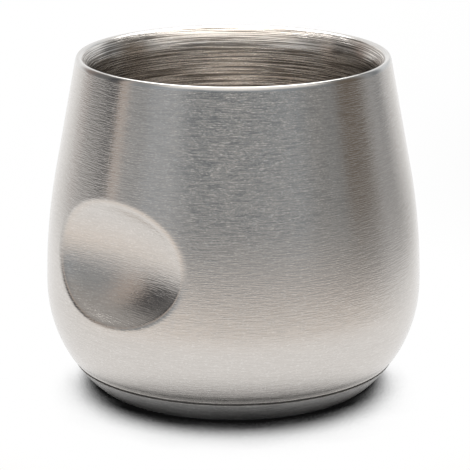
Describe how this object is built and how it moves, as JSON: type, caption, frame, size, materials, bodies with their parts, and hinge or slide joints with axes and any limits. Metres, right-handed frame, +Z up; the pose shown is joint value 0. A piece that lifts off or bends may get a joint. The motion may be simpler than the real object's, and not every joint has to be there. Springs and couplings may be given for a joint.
{
  "type": "espresso cup",
  "caption": "Handleless double-walled steel espresso cup with a round belly, a mouth that flares to a rounded lip, a thumb dimple pressed into the outer wall and a flat foot ring.",
  "frame": {"origin": "centre of the foot ring, on the surface the cup stands on", "axes": "+Z up along the cup's axis; the thumb dimple faces -Y; +X completes the right-handed frame"},
  "size_m": [0.066, 0.0659, 0.0582],
  "materials": {
    "shell_brushed": "fine brushing that runs round the cup",
    "liner_spun": "spun rings round the inside",
    "pan_brushed": "fine brushing that runs round the foot",
    "lip_polished": "polished",
    "seam_weld": "satin weld at the bottom of the seam"
  },
  "bodies": {
    "root": {"outer_shell": "shell_brushed", "inner_liner": "liner_spun", "base_pan": "pan_brushed", "rim_weld": "lip_polished", "base_weld": "seam_weld"}
  },
  "joints": []
}
